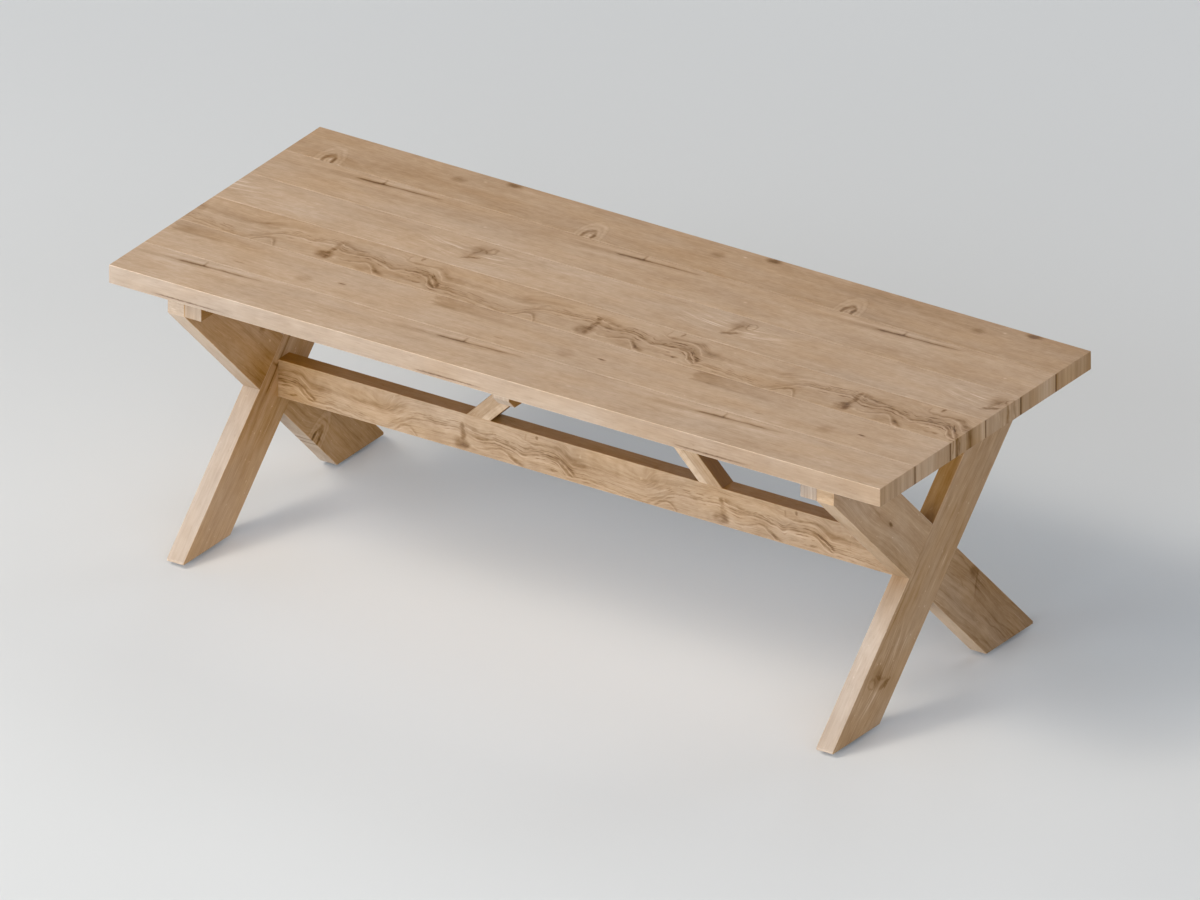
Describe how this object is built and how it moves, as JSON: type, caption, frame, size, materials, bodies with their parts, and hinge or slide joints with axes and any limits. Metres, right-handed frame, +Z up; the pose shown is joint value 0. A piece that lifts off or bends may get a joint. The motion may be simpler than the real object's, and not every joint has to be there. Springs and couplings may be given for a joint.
{
  "type": "sawbuck table",
  "caption": "Long plank-topped dining table on X-shaped trestles, tied by a stretcher on edge with slanted braces up to the middle batten.",
  "frame": {"origin": "on the floor, under the middle of the top", "axes": "+X along the top, +Y across it towards the back, +Z up"},
  "size_m": [2.2, 0.9024, 0.76],
  "materials": {
    "top_wood": "planed, matt oil, knots and cracks",
    "frame_wood": "planed, matt oil, knots",
    "dowel_wood": "turned, bare",
    "screw_steel": "yellow zinc",
    "glide_plastic": "moulded, dark brown"
  },
  "bodies": {
    "root": {"top_plank_1": "top_wood", "top_plank_2": "top_wood", "top_plank_3": "top_wood", "top_plank_4": "top_wood", "top_plank_5": "top_wood", "top_plank_6": "top_wood", "leg_left_front": "frame_wood", "leg_left_back": "frame_wood", "leg_right_front": "frame_wood", "leg_right_back": "frame_wood", "stretcher": "frame_wood", "brace_left": "frame_wood", "brace_right": "frame_wood", "centre_batten": "frame_wood", "end_batten_left": "frame_wood", "end_batten_right": "frame_wood", "brace_foot_dowels": "dowel_wood", "brace_head_dowels": "dowel_wood", "plank_screws": "screw_steel", "leg_screws": "screw_steel", "glide_screws": "screw_steel", "foot_glide_left_front": "glide_plastic", "foot_glide_left_back": "glide_plastic", "foot_glide_right_front": "glide_plastic", "foot_glide_right_back": "glide_plastic"}
  },
  "joints": []
}
